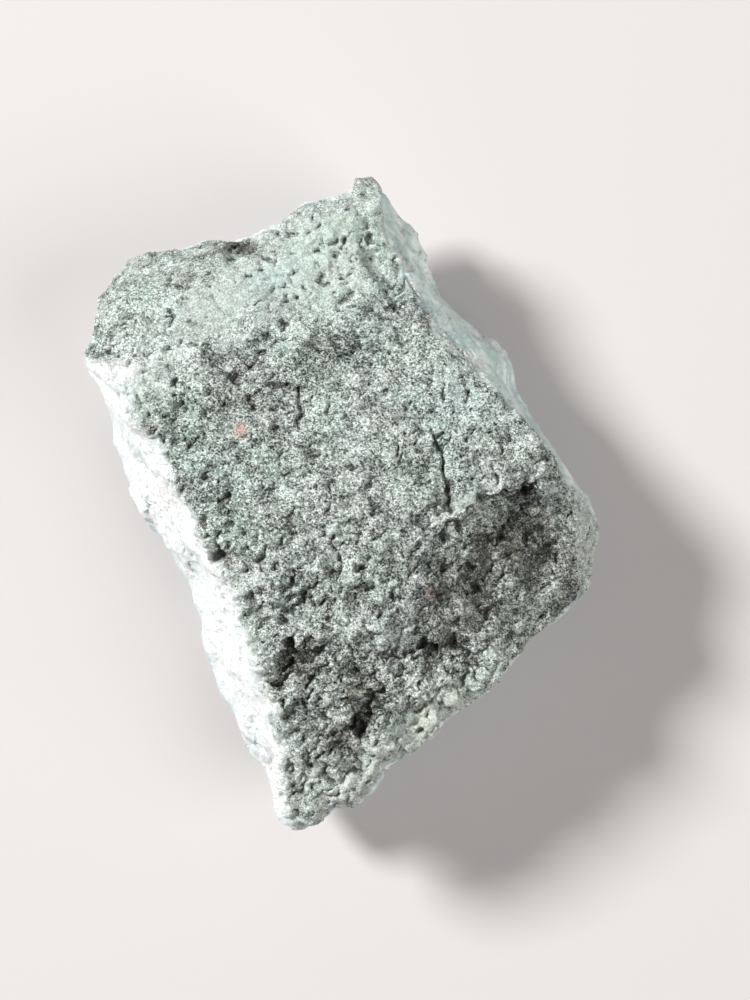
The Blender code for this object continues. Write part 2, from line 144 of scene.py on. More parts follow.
# Cracks: the points along it, half width, depth
CRACKS = [
    (((8.7, 7.4), (9.3, 5.9), (9.9, 5.2), (9.9, 3.4), (10.3, 1.7), (10.5, -1.0)), 0.27, 0.65),
    (((10.7, 6.7), (9.9, 5.4)), 0.24, 0.35),
    (((-0.9, -3.0), (-1.2, -4.0), (-0.4, -4.9), (-0.3, -6.2), (-0.7, -7.6)), 0.26, 0.5),
    (((-6.9, 11.2), (-5.9, 11.9), (-4.9, 11.7)), 0.24, 0.28),
    (((-4.4, 11.4), (-4.6, 10.2), (-4.1, 9.2), (-4.5, 8.2), (-4.4, 7.2)), 0.31, 0.48),
    (((-2.1, 17.6), (-1.3, 16.4), (-0.3, 15.4)), 0.24, 0.35),
    (((-8.0, -17.8), (-6.6, -18.3), (-5.4, -17.4), (-4.5, -16.4)), 0.26, 0.5),
    (((2.6, -19.6), (2.3, -20.6), (2.7, -21.6), (1.9, -22.6), (2.1, -23.4)), 0.3, 0.5),
    (((5.2, 17.4), (5.9, 16.0)), 0.28, 0.35),
    (((-13.0, 20.6), (-12.0, 19.0), (-10.8, 18.0)), 0.25, 0.3),
]
CRACK_WARP = 0.4  # how much of the warp bends a crack
CRACK_MARGIN = 0.4  # how far beside its line the rest of the warp may bring it
CRACK_UNEVEN = (3.0, 1.3, 0.5)  # which layer of noise makes it uneven, its size, and by how much

# Small steps: the points along the lip, with the low side on the right, the drop, and the run back up
STEPS = [
    (
        ((9.4, -2.8), (10.0, -1.7), (11.5, -1.7), (12.1, -0.9), (13.4, 0.6), (15.1, 1.1), (17.6, 1.5),
         (18.8, 1.9)),
        0.68, 1.3,
    ),
    (((-9.4, 9.8), (-10.6, 11.6), (-12.0, 12.7), (-13.6, 14.1), (-14.6, 15.4)), 0.28, 1.8),
    (((-3.6, 19.0), (-5.9, 17.5), (-8.0, 15.4), (-9.3, 12.9)), 0.25, 2.0),
    (((-2.8, -13.4), (-1.4, -13.7), (-0.2, -14.9), (0.4, -16.4)), 0.22, 1.4),
    (((-7.5, -8.5), (-5.8, -8.0), (-4.4, -8.9)), 0.25, 1.4),
    (((3.2, -13.0), (4.0, -14.6), (5.6, -14.9)), 0.25, 1.4),
]
LIP = 0.35  # how wide the drop itself is
STEP_UNEVEN = (5.0, 1.1, 0.8)  # the same for a step as CRACK_UNEVEN for a crack
UNEVEN_MIDDLE = 0.9  # the share of its depth that an uneven crack or step has on average

# Lumps that stand proud: place, radius, height
LUMPS = [
    ((9.2, -22.2), 1.1, 0.35), ((7.4, -20.6), 0.9, 0.3), ((6.2, -22.8), 0.9, 0.3),
    ((11.0, -19.8), 1.0, 0.35), ((12.9, -18.2), 0.9, 0.3), ((8.4, -18.4), 0.8, 0.3),
    ((4.9, -24.6), 1.0, 0.35), ((2.6, -26.8), 1.0, 0.3), ((0.4, -28.6), 0.9, 0.3),
    ((15.4, -15.8), 0.9, 0.3), ((3.2, 29.8), 0.9, 0.35), ((1.6, 30.9), 0.8, 0.3), ((5.6, 24.0), 0.8, 0.35),
    ((1.3, 28.8), 0.9, 0.3), ((7.8, 21.6), 0.8, 0.25), ((-1.5, 27.0), 0.9, 0.25), ((24.9, -2.0), 1.2, 0.3),
    ((24.6, -5.4), 1.1, 0.3), ((22.6, -9.6), 1.1, 0.3), ((12.8, -0.2), 0.8, 0.25),
]
# Where the matrix is rougher, or smoother: place, reach, amount
ROUGH_PLACES = [
    ((-4.5, -16.0), 5.0, 0.7), ((2.2, -19.6), 4.5, 0.7), ((0.2, -24.2), 4.0, 0.6),
    ((4.5, -13.5), 5.0, 0.45), ((-5.2, -9.0), 3.5, 0.5), ((9.0, -14.0), 4.0, 0.5), ((17.2, -2.2), 4.5, 0.6),
    ((13.0, -7.0), 6.0, 0.3), ((-12.0, -5.5), 3.0, 0.7), ((1.0, 26.5), 5.5, 0.35),
    ((-2.0, -27.0), 5.0, 0.5), ((9.0, -21.0), 4.0, 0.6), ((13.0, -17.0), 4.0, 0.6), ((5.5, 20.5), 4.0, 0.5),
    ((-9.0, 12.5), 4.0, 0.3), ((10.5, 4.0), 3.0, 0.3), ((22.0, 3.0), 5.0, 0.4), ((-4.0, 9.5), 2.5, 0.4),
    ((2.0, 6.0), 6.0, -0.2), ((-7.0, 2.0), 6.0, -0.1), ((-12.0, 20.0), 6.0, -0.2),
    ((-20.0, 20.0), 6.0, -0.3), ((13.0, 10.0), 4.0, -0.2),
]
ROUGH_FAR, ROUGHER_NEAR = 0.36, 0.46  # how rough it is at the far end, and how much more so at the near end
FAR_END, NEAR_END = 14.0, -12.0  # where those two lie
END_SLANT = 0.35  # how far they slant to the right

# Swells all over: their width, and their height either way
MATRIX_RELIEF = [(3.4, 0.26), (1.7, 0.30), (0.9, 0.22), (0.45, 0.11)]
WARP = [(1.2, 0.55), (0.5, 0.30)]  # how the outlines of pits and cracks are bent, in the same way
ELSEWHERE = Vector((7.3, 1.9, 4.1))  # the shift that makes a second noise of the first
FAR_AWAY = Vector((9, 9, 9))  # and another
BEDDING = 35  # the direction that crumbs and grains are drawn out along
BEDDING_SQUEEZE = 0.72  # the smaller, the further they are drawn out

# Broken crumbs: width, tilt, step, depth of the gaps, how many open, and their half width by the crumb's
CRUMBS = [(2.1, 0.22, 0.07, 0.50, 0.0, 0.24), (0.95, 0.32, 0.07, 0.42, 0.12, 0.24)]
ROUGH_GAPS = 0.5  # how many more gaps open where it is rough
GAP_SHUT, GAP_OPEN = 0.96, 1.12  # the noise at which a gap starts to open, and at which it is open
GAP_CROWDING = 0.58  # how much sooner it opens where gaps are crowded
GAP_SPACING = 0.75  # size of that noise by the crumb's width
CRUMB_SEED = 17.0  # what gives each crumb a turn and a height of its own
UP_STARTS, UP_WHOLE = 0.3, 0.7  # how far the matrix faces up where the pits, cracks and steps cut into it

# ----------------------------------------------------------------------------------------------------------
# The relief of the bare pectolite

# Swells all over: their width, and their height either way
SIDE_RELIEF = [(4.0, 0.10), (1.6, 0.06), (0.9, 0.05)]
FIBRE_RELIEF = [(1.1, 0.06), (0.55, 0.035)]  # across the fibres, which stand upright in the sides
FIBRE_LENGTH = 7.0  # how many times longer than wide
# Its breaks, in the same form as CRUMBS
SIDE_CRUMBS = [(5.5, 0.06, 0.10, 0.30, 0.62, 0.058), (2.2, 0.09, 0.04, 0.22, 0.62, 0.1)]
SIDE_SQUEEZE = 0.8  # the smaller, the taller those breaks are
ACROSS = Vector((0.93, 0.37, 0.0))  # from the left wall, which is smoother and whiter, to the other sides
LEFT_WALL = -15.5  # how far along ACROSS that wall is wholly itself
LEFT_WALL_FADES = 3.0  # how much further along it the wall's smoothness has faded
LEFT_CALM = 0.4  # how much smoother it is
# The smooth, glassy break on the right runs along this line
GLASSY_LINE = ((5.0, 30.5), (9.0, 24.5), (14.0, 18.5), (18.5, 12.0), (22.5, 5.5))
GLASSY_REACH = 5.5  # and reaches this far from it
GLASSY_LOW, GLASSY_HIGH = 4.0, 11.0  # the heights at which the break starts and is wholly itself
GLASSY_CALM = 0.55  # how much smoother it is

# ----------------------------------------------------------------------------------------------------------
# The masks

LEVEL = 0.25  # the height by which the level foot has given way to relief
DEEPEST = 0.5  # how deep a cavity is where its painted shade is whole
SHALLOW = 0.2  # how much painted shade a dip gets against a cavity of the same depth

# Patches on the matrix: some are its own lighter and darker tone, and some are painted light and shade, as
# marked below: place, reach along and across, turn, and how much lighter they are
TONES_AND_PAINTED_LIGHT = [
    ((-3.0, 24.0), (14.0, 7.0), 30, 0.85), ((-15.5, 18.0), (7.5, 4.2), 25, 0.54),
    # The first patch on the next line is painted light, where the surface slopes away from the lamp
    ((-19.2, 12.0), (4.6, 3.6), 30, 0.65), ((-14.8, 8.6), (4.2, 3.8), 140, -0.12),
    ((-8.8, 16.0), (2.2, 4.0), 20, -0.35), ((-1.3, 15.0), (5.0, 3.2), 20, -0.30),
    # The last patch on the next line is painted shade in the notch where the two lobes meet
    ((-9.0, 10.0), (2.8, 5.0), 20, -0.15), ((-10.0, 25.8), (2.6, 1.0), 160, -1.2),
    ((-0.8, 7.6), (3.2, 4.2), 0, 0.25), ((11.2, 10.3), (3.4, 5.0), 35, 0.26),
    # The last patch on the next line and the first on the one after are partly painted shade, below the ledge
    # and on the facet that faces away from the lamp
    ((15.0, 8.0), (6.0, 3.0), 130, 0.12), ((17.2, -3.0), (6.0, 5.0), 30, -0.70),
    ((12.6, -9.0), (7.5, 5.2), 50, -0.76), ((20.0, -7.5), (4.5, 4.0), 50, -0.35),
    ((9.3, -5.0), (3.0, 3.0), 0, -0.25), ((-4.6, -15.9), (2.8, 2.4), 42, -0.55),
    ((2.2, -19.6), (3.2, 2.6), 30, -0.65), ((0.2, -24.2), (2.8, 2.4), 30, -0.55),
    ((-1.5, -20.0), (3.0, 2.0), 60, 0.10), ((4.7, -12.7), (3.4, 2.8), 30, 0.12),
    ((9.0, -15.0), (2.6, 1.8), 40, -0.35), ((-9.5, -10.0), (4.5, 8.0), 20, 0.36),
    ((-10.6, -14.0), (2.0, 9.0), 20, 0.20), ((0.0, -28.0), (6.5, 4.0), 30, 0.55),
    ((7.2, -20.0), (3.4, 2.0), 35, 0.30), ((8.5, -22.0), (10.5, 3.0), 40, 0.90),
    # The first patch on the next line is a painted highlight along the lip of the ledge
    ((12.2, 0.1), (5.8, 0.8), 28, 1.1), ((19.7, -3.6), (1.6, 3.8), 10, -0.40),
    ((13.4, -7.2), (2.0, 3.0), 0, -0.55), ((9.2, -8.6), (1.8, 2.4), 0, -0.25),
    ((16.1, -7.0), (2.0, 3.8), 15, 0.48), ((17.9, -10.0), (3.2, 2.2), 40, 0.40),
    ((11.2, -4.2), (1.8, 2.2), 0, -0.05), ((14.6, -12.6), (2.4, 1.6), 40, 0.30),
    # The first patch on the next line is painted light that lifts the shadow below the ledge
    ((15.5, -1.0), (4.0, 1.5), 25, 0.42), ((21.6, -2.0), (1.3, 2.8), 20, 0.30),
    # The first patch on the next line is painted shade along the lower right edge
    ((22.6, -9.6), (3.2, 1.4), 45, -0.60), ((3.0, -13.6), (5.0, 1.6), 5, 0.30),
    # The patch at (25.8, -4.0) on the next line is painted light on the rim that faces away from the lamp
    ((0.6, -17.0), (1.6, 3.4), 15, -0.25), ((25.8, -4.0), (2.8, 7.5), 10, 1.10),
    ((21.0, 3.0), (5.0, 2.4), 120, 0.20), ((-3.0, -6.0), (6.0, 4.0), 20, -0.06),
]
TONE_AND_LIGHT_SPREAD = 1.15  # how far past its reach a patch has faded away
# Places with a cast of blue (or of brown): place, reach, amount
CASTS = [
    ((11.2, 10.0), 5.5, 1.0), ((-1.5, 8.5), 4.0, 0.5), ((2.0, 17.0), 5.0, 0.5), ((-13.0, -14.5), 3.0, 0.5),
    ((-5.0, -6.5), 3.0, 0.4), ((5.0, -21.0), 3.0, 0.3), ((-4.6, -16.0), 3.4, -0.9),
    ((-12.2, -6.0), 2.6, -0.8), ((2.2, -19.6), 3.0, -0.6), ((16.0, -3.0), 5.0, -0.5),
    ((11.0, -0.6), 3.0, -0.4), ((13.4, -7.0), 2.6, 0.5), ((-7.2, 2.6), 2.6, 0.7), ((-5.6, 23.0), 3.2, 0.6),
    ((0.0, -27.5), 8.0, -0.5), ((9.5, -21.0), 7.5, -0.6), ((24.0, -4.5), 5.5, -0.5),
    ((18.0, -12.5), 5.0, -0.5), ((0.5, -18.0), 7.0, -0.25), ((-8.0, -18.5), 2.4, -0.5),
]
# Places with a cast of green: place, reach, amount
GREENS = [
    ((-15.0, 7.8), 4.5, 0.9), ((-8.4, 4.6), 3.2, 0.8), ((-3.2, 14.2), 4.5, 0.8), ((-11.5, -1.5), 4.0, 0.7),
    ((-19.5, 21.0), 4.5, 0.3), ((8.0, 3.0), 4.5, 0.5), ((-2.0, -9.0), 4.5, 0.5), ((-8.0, -22.0), 4.5, 0.6),
    ((17.0, -14.0), 4.0, 0.4),
]
# Small rosy and rusty spots: place, reach
ROSY_SPOTS = [((-10.2, 7.3), 1.1), ((-12.2, -8.0), 0.5), ((8.8, -8.8), 0.6)]
MASKS = ("matrix", "hollow_shade", "painted_relief_light", "tone", "cast", "green", "rosy", "glassy")


# ----------------------------------------------------------------------------------------------------------
# Tools for meshes and places


def after_modifier(bm, kind, **settings):
    """The bmesh that a modifier makes of this one, which is freed."""
    mesh = bpy.data.meshes.new("work")
    bm.to_mesh(mesh)
    bm.free()
    work = bpy.data.objects.new("work", mesh)
    bpy.context.scene.collection.objects.link(work)
    modifier = work.modifiers.new("work", kind)
    for name, value in settings.items():
        setattr(modifier, name, value)
    evaluated = work.evaluated_get(bpy.context.evaluated_depsgraph_get())
    result = bmesh.new()
    result.from_mesh(evaluated.to_mesh())
    bpy.data.objects.remove(work)
    bpy.data.meshes.remove(mesh)
    return result


def even_out(bm, verts, factor):
    bmesh.ops.smooth_vert(bm, verts=verts, factor=factor, use_axis_x=True, use_axis_y=True, use_axis_z=True)


def relax(bm, rounds):
    """Evens out small facets. Each round shrinks the mesh and swells it back, so that its ridges stay."""
    for factor in SHRINK_AND_SWELL * rounds:
        even_out(bm, bm.verts, factor)


def keep_above_ground(bm):
    for vert in bm.verts:
        vert.co.z = max(0.0, vert.co.z)


def smooth_step(low, high, value):
    """0 at low, 1 at high, and smooth between them. high may be the lower of the two."""
    share = min(1.0, max(0.0, (value - low) / (high - low)))
    return share * share * (3.0 - 2.0 * share)


def bowl(distance):
    """1 in the middle, and 0 from a distance of 1 on."""
    return max(0.0, 1.0 - distance * distance) ** 1.5


def oval(x, y, centre, reaches, turn):
    """Distance from the centre of an oval, which is 1 on the oval itself."""
    cosine, sine = math.cos(math.radians(turn)), math.sin(math.radians(turn))
    dx, dy = x - centre[0], y - centre[1]
    return math.hypot((dx * cosine + dy * sine) / reaches[0], (dy * cosine - dx * sine) / reaches[1])


def nearest_run(points, x, y):
    """(distance, place to the right of the line) of a point, by its nearest stretch."""
    here = Vector((x, y))
    best = None
    for start, end in zip(points, points[1:]):
        start, end = Vector(start), Vector(end)
        run = end - start
        share = min(1.0, max(0.0, (here - start).dot(run) / run.length_squared))
        distance = (here - start - run * share).length
        if best is None or distance < best[0]:
            best = (distance, (here - start).cross(run) / run.length)
    return best


def swell(place, size, height):
    return height * noise.noise(place / size)


def warped(place):
    """The place, moved sideways a little, so that what is drawn round it comes out crooked."""
    x, y = place.x, place.y
    for size, reach in WARP:
        x += reach * noise.noise(place / size)
        y += reach * noise.noise(place / size + ELSEWHERE)
    return x, y


def unevenness(x, y, uneven):
    """A share that wanders along a crack or a step."""
    level, size, amount = uneven
    return UNEVEN_MIDDLE + amount * noise.noise(Vector((x, y, level)) / size)


class NearPlaces:
    """A list of features, sorted into squares so that each point of the mesh only tries those close by."""

    SQUARE = 3.0

    def __init__(self, features, reach_of):
        self.squares = {}
        for feature in features:
            low, high = reach_of(feature)
            for column in range(math.floor(low[0] / self.SQUARE), math.floor(high[0] / self.SQUARE) + 1):
                for row in range(math.floor(low[1] / self.SQUARE), math.floor(high[1] / self.SQUARE) + 1):
                    self.squares.setdefault((column, row), []).append(feature)

    def at(self, x, y):
        return self.squares.get((math.floor(x / self.SQUARE), math.floor(y / self.SQUARE)), ())

    def total(self, x, y):
        """What features of the form (place, reach, amount) come to here. Each fades towards its reach."""
        near = self.at(x, y)
        return sum(amount * bowl(math.dist((x, y), centre) / reach) for centre, reach, amount in near)


def round_reach(feature):
    return line_reach(feature[:1], feature[1])


def line_reach(points, width):
    xs, ys = [p[0] for p in points], [p[1] for p in points]
    return (min(xs) - width, min(ys) - width), (max(xs) + width, max(ys) + width)


NEAR_PITS = NearPlaces(PITS, lambda pit: line_reach(pit[:1], pit[1] * pit[3]))
NEAR_CRACKS = NearPlaces(CRACKS, lambda crack: line_reach(crack[0], crack[1] + CRACK_MARGIN))
NEAR_STEPS = NearPlaces(STEPS, lambda step: line_reach(step[0], step[2]))
NEAR_TONES_AND_PAINTED_LIGHT = NearPlaces(TONES_AND_PAINTED_LIGHT, lambda tone: line_reach(tone[:1], max(tone[1]) * TONE_AND_LIGHT_SPREAD))
NEAR_LUMPS = NearPlaces(LUMPS, round_reach)
NEAR_ROUGH = NearPlaces(ROUGH_PLACES, round_reach)
NEAR_CASTS = NearPlaces(CASTS, round_reach)
NEAR_GREENS = NearPlaces(GREENS, round_reach)

# ----------------------------------------------------------------------------------------------------------
# Matrix and pectolite, point by point


def edge_share(x, y):
    """1 well inside the edge of the matrix, 0 well outside it."""
    point = Vector((x, y, 0))
    inside = False
    nearest = math.inf
    for (ax, ay), (bx, by) in zip(MATRIX_EDGE, MATRIX_EDGE[1:] + MATRIX_EDGE[:1]):
        if (ay > y) != (by > y) and x < ax + (y - ay) / (by - ay) * (bx - ax):
            inside = not inside
        beside = min(ax, bx) - EDGE_NEAR < x < max(ax, bx) + EDGE_NEAR
        if beside and min(ay, by) - EDGE_NEAR < y < max(ay, by) + EDGE_NEAR:
            start, end = Vector((ax, ay, 0)), Vector((bx, by, 0))
            share = geometry.intersect_point_line(point, start, end)[1]
            nearest = min(nearest, (point - start.lerp(end, min(1.0, max(0.0, share)))).length)
    return smooth_step(-EDGE_OUTSIDE, EDGE_INSIDE, nearest if inside else -nearest)


def inside_matrix(place, normal):
    """1 on the matrix, 0 on bare pectolite, with a frayed edge between them."""
    if place.z < BARE_BELOW or normal.z < BARE_SLOPE:
        return 0.0
    spot = place / EDGE_FRAY_SIZE
    wander = Vector((noise.noise(spot), noise.noise(spot + FAR_AWAY), 0))
    shift = sum(far * smooth_step(starts, whole, normal.z) for starts, whole, far in WALL_SHIFTS)
    share = edge_share(*(place + wander * EDGE_FRAY + normal * shift).xy)
    to_the_right = smooth_step(RIGHT_STARTS, RIGHT_WHOLE, RIGHT.dot(place.xy.normalized()))
    lowest = MATRIX_FLOOR + (RIGHT_MATRIX_FLOOR - MATRIX_FLOOR) * to_the_right
    wide, narrow = (swell(place, size, height) for size, height in FLOOR_SWELLS)
    ragged = (1.0 + to_the_right) * wide + narrow
    return share * smooth_step(-FLOOR_FADE, FLOOR_FADE, place.z - lowest + ragged)


def matrix_shares(bm):
    """How much of each point is matrix. Matrix that doesn't hang together with that on top is left out."""
    shares = [inside_matrix(vert.co, vert.normal) for vert in bm.verts]
    bm.verts.index_update()
    bm.verts.ensure_lookup_table()
    start = max(range(len(shares)), key=lambda index: bm.verts[index].co.z)
    linked, waiting = {start}, [start]
    while waiting:
        for link in bm.verts[waiting.pop()].link_edges:
            for vert in link.verts:
                if vert.index not in linked and shares[vert.index] > LINKED:
                    linked.add(vert.index)
                    waiting.append(vert.index)
    beside = {vert.index for index in linked for link in bm.verts[index].link_edges for vert in link.verts}
    return [share if index in linked or index in beside else 0.0 for index, share in enumerate(shares)]


def named_depth(place):
    """How deep the pits, cracks and steps cut here."""
    x, y = warped(place)
    depth = 0.0
    for centre, radius, deepest, drawn_out, turn in NEAR_PITS.at(x, y):
        away = oval(x, y, centre, (radius * drawn_out, radius), turn)
        depth = max(depth, deepest * bowl(away) ** PIT_SIDES)
    for points, half_width, deepest in NEAR_CRACKS.at(x, y):
        uneven = unevenness(x, y, CRACK_UNEVEN)
        less_x = x * CRACK_WARP + place.x * (1.0 - CRACK_WARP)
        less_y = y * CRACK_WARP + place.y * (1.0 - CRACK_WARP)
        across = nearest_run(points, less_x, less_y)[0]
        depth = max(depth, deepest * uneven * bowl(across / (half_width * min(1.0, uneven))))
    for points, drop, recovered in NEAR_STEPS.at(x, y):
        distance, low_side = nearest_run(points, x, y)
        if low_side > 0:
            below = smooth_step(0.0, LIP, low_side)
            run_back = 1.0 - smooth_step(LIP, recovered, distance)
            depth += drop * unevenness(x, y, STEP_UNEVEN) * below * run_back
    return depth


def along_bedding(place):
    """The place turned and squeezed, so that what is laid out evenly on it is drawn out along the bedding."""
    cosine, sine = math.cos(math.radians(BEDDING)), math.sin(math.radians(BEDDING))
    x, y = warped(place)
    return Vector(((x * cosine + y * sine) * BEDDING_SQUEEZE, y * cosine - x * sine, place.z))


def crumb(place, rough, width, tilt, step, gap_depth, crowding, gap_width):
    """(how far a broken crumb stands out, how deep the gap beside it is). Crumbs meet in sharp steps."""
    distances, middles = noise.voronoi(place / width)
    own = noise.cell_vector(middles[0] * CRUMB_SEED) - Vector((0.5, 0.5, 0.5))
    stands = width * tilt * (place / width - middles[0]).dot(own) * 2.0 + step * (own.x + own.y)
    crowded = GAP_CROWDING * (ROUGH_GAPS * rough + crowding)
    opening = 0.5 + noise.noise(place / (width * GAP_SPACING))
    opening = smooth_step(GAP_SHUT - crowded, GAP_OPEN - crowded, opening)
    return stands, gap_depth * opening * bowl((distances[1] - distances[0]) / gap_width)


def matrix_relief(place, facing_up):
    """How far the matrix stands out here, and how deep its cavities are."""
    x, y = place.x, place.y
    rough = ROUGH_FAR + ROUGHER_NEAR * smooth_step(FAR_END, NEAR_END, y + END_SLANT * x)
    rough += NEAR_ROUGH.total(x, y)
    outwards = sum(swell(place, size, height) for size, height in MATRIX_RELIEF) * rough
    cavity = 0.0
    bedded = along_bedding(place)
    for shape in CRUMBS:
        stands, gap = crumb(bedded, rough, *shape)
        outwards += stands * rough
        cavity = max(cavity, gap)
    cavity += facing_up * named_depth(place)
    outwards += NEAR_LUMPS.total(x, y)
    return outwards - cavity, cavity


def glassiness(place):
    """1 along the top of the smooth break on the right, 0 away from it and nearer the ground."""
    distance = nearest_run(GLASSY_LINE, place.x, place.y)[0]
    return bowl(distance / GLASSY_REACH) * smooth_step(GLASSY_LOW, GLASSY_HIGH, place.z)


def side_relief(place):
    """How far the bare pectolite stands out, and how deep its gaps are."""
    outwards = sum(swell(place, size, height) for size, height in SIDE_RELIEF)
    upright = Vector((place.x, place.y, place.z / FIBRE_LENGTH))
    outwards += sum(swell(upright, size, height) for size, height in FIBRE_RELIEF)
    crooked = Vector((*warped(place), place.z * SIDE_SQUEEZE))
    cavity = 0.0
    for shape in SIDE_CRUMBS:
        stands, gap = crumb(crooked, 0.0, *shape)
        outwards += stands
        cavity = max(cavity, gap)
    calm = 1.0 - LEFT_CALM * smooth_step(LEFT_WALL + LEFT_WALL_FADES, LEFT_WALL, ACROSS.dot(place))
    calm -= GLASSY_CALM * glassiness(place)
    return (outwards - cavity) * calm, cavity * calm


# ----------------------------------------------------------------------------------------------------------
# From the solid to the carved mesh


def fine_copy(solid):
    """The solid as a fine even mesh, in millimetres, with its facets smoothed away."""
    bm = bmesh.new()
    bm.from_mesh(solid.data)
    bmesh.ops.remove_doubles(bm, verts=bm.verts, dist=SAME_PLACE * MM)
    bmesh.ops.scale(bm, vec=(1 / MM, 1 / MM, 1 / MM), verts=bm.verts)
    bm = after_modifier(bm, "REMESH", mode="VOXEL", voxel_size=VOXEL)
    relax(bm, SMOOTHING)
    for vert in bm.verts:
        for centre, reach, pull, top in PULLS:
            share = bowl(math.dist(vert.co.xy, centre) / reach)
            share *= smooth_step(top + PULL_FADES, top, vert.co.z)
            vert.co.xy += Vector(pull) * share
    bm.normal_update()
    upper = [face for face in bm.faces if face.calc_center_median().z > FINER_ABOVE]
    edges = {edge for face in upper if face.normal.z > FINER_SLOPE for edge in face.edges}
    bmesh.ops.subdivide_edges(bm, edges=list(edges), cuts=2, use_grid_fill=True)
    relax(bm, SMOOTHING_CUTS)
    bm.normal_update()
    return bm


def carve(bm):
    """Gives the fine mesh its grain, and leaves what the material needs in attributes named as in MASKS."""
    layers = [bm.verts.layers.float.new(name) for name in MASKS]
    moves = []
    for vert, matrix in zip(bm.verts, matrix_shares(bm)):
        place, normal = vert.co, vert.normal
        x, y = place.x, place.y
        outwards = hollow_shade = glassy = 0.0
        if matrix > 0.0:
            stands, cavity = matrix_relief(place, smooth_step(UP_STARTS, UP_WHOLE, normal.z))
            outwards += matrix * stands
            # How deep the cavities and dips are, which the material paints as shade
            hollow_shade += matrix * (SHALLOW * max(0.0, -stands - cavity) + cavity)
        if matrix < 1.0:
            stands, cavity = side_relief(place)
            outwards += (1.0 - matrix) * stands
            hollow_shade += (1.0 - matrix) * cavity
            glassy = glassiness(place)
        # How far the surface stands out, which the material paints as light on crests and as shade in dips
        painted_relief_light = min(1.0, max(0.0, 0.5 + outwards))
        # Tone patches, some of them painted light and shade
        tone = sum(
            lightness * bowl(oval(x, y, centre, reaches, turn) / TONE_AND_LIGHT_SPREAD)
            for centre, reaches, turn, lightness in NEAR_TONES_AND_PAINTED_LIGHT.at(x, y)
        )
        rosy = max(bowl(math.dist((x, y), centre) / reach) for centre, reach in ROSY_SPOTS)
        cast, green = NEAR_CASTS.total(x, y), NEAR_GREENS.total(x, y)
        masks = (matrix, min(1.0, hollow_shade / DEEPEST), painted_relief_light, tone, cast, green, rosy, glassy)
        for layer, value in zip(layers, masks):
            vert[layer] = value
        moves.append(normal * outwards * (1.0 - smooth_step(LEVEL, 0.0, place.z)))
    for vert, move in zip(bm.verts, moves):
        vert.co += move
    keep_above_ground(bm)


def unfold(bm):
    """Evens out the few places where the carved mesh has folded over on itself."""
    for _ in range(UNFOLDING):
        bm.normal_update()
        folded = {vert for edge in bm.edges if edge.calc_face_angle(0.0) > FOLDED for vert in edge.verts}
        even_out(bm, [vert for vert in bm.verts if vert in folded], 0.5)


# ----------------------------------------------------------------------------------------------------------
# Tools for materials


def put(tree, socket, value):
    """Sets a socket to a plain value, or links it to an output socket. A colour may leave out its opacity."""
    if isinstance(value, bpy.types.NodeSocket):
        tree.links.new(value, socket)
    elif isinstance(value, tuple) and len(socket.default_value) == 4:
        socket.default_value = (*value, 1)
    else:
        socket.default_value = value


def node(tree, kind, inputs=None, **settings):
    """Adds a node. Each input is a plain value, or an output socket to link it from."""
    new = tree.nodes.new(kind)
    for name, value in settings.items():
        setattr(new, name, value)
    for name, value in (inputs or {}).items():
        put(tree, new.inputs[name], value)
    return new


def maths(tree, operation, first, second=0.0, clamp=False):
    inputs = {0: first, 1: second}
    return node(tree, "ShaderNodeMath", inputs, operation=operation, use_clamp=clamp).outputs[0]


def product(tree, first, second):
    return maths(tree, "MULTIPLY", first, second)


def total(tree, first, *others):
    for other in others:
        first = maths(tree, "ADD", first, other)
    return first


def swing(tree, value, middle, times):
    """How far a value is from a middle one, times a number or a socket."""
    return product(tree, maths(tree, "SUBTRACT", value, middle), times)


def ramp(tree, value, low, high, to_low=0.0, to_high=1.0):
    """value from low to high, as a smooth step from to_low to to_high."""
    inputs = {"Value": value, "From Min": low, "From Max": high, "To Min": to_low, "To Max": to_high}
    return node(tree, "ShaderNodeMapRange", inputs, interpolation_type="SMOOTHSTEP").outputs["Result"]


def blend(tree, share, first, second, how="MIX"):
    """The colour that lies a share of the way from the first to the second."""
    inputs = {0: share, 6: first, 7: second}
    return node(tree, "ShaderNodeMix", inputs, data_type="RGBA", blend_type=how).outputs[2]


def tinted(tree, share, colour, tint):
    """The colour multiplied by a tint, by a share."""
    return blend(tree, share, colour, blend(tree, 1.0, colour, tint, "MULTIPLY"))


def noise_at(tree, place, per_mm, detail=2.0, roughness=0.5, distortion=0.0):
    inputs = {"Vector": place, "Scale": per_mm, "Detail": detail, "Roughness": roughness}
    return node(tree, "ShaderNodeTexNoise", {**inputs, "Distortion": distortion}).outputs["Fac"]


def cells_at(tree, place, per_mm, output, feature="F1"):
    """One of the outputs of a pattern of cells."""
    inputs = {"Vector": place, "Scale": per_mm}
    return node(tree, "ShaderNodeTexVoronoi", inputs, feature=feature).outputs[output]


def bent(tree, place, per_mm, detail, reach):
    """The place moved by a noise, so that what is laid out on it comes out crooked."""
    inputs = {"Vector": place, "Scale": per_mm, "Detail": detail}
    bend = node(tree, "ShaderNodeTexNoise", inputs).outputs["Color"]
    bend = node(tree, "ShaderNodeVectorMath", {0: bend, "Scale": reach}, operation="SCALE").outputs[0]
    return node(tree, "ShaderNodeVectorMath", {0: place, 1: bend}, operation="ADD").outputs[0]


def turned(tree, place, rotation, scale):
    inputs = {"Vector": place, "Rotation": rotation, "Scale": scale}
    return node(tree, "ShaderNodeMapping", inputs).outputs["Vector"]


def attribute(tree, name):
    return node(tree, "ShaderNodeAttribute", attribute_name=name).outputs["Fac"]


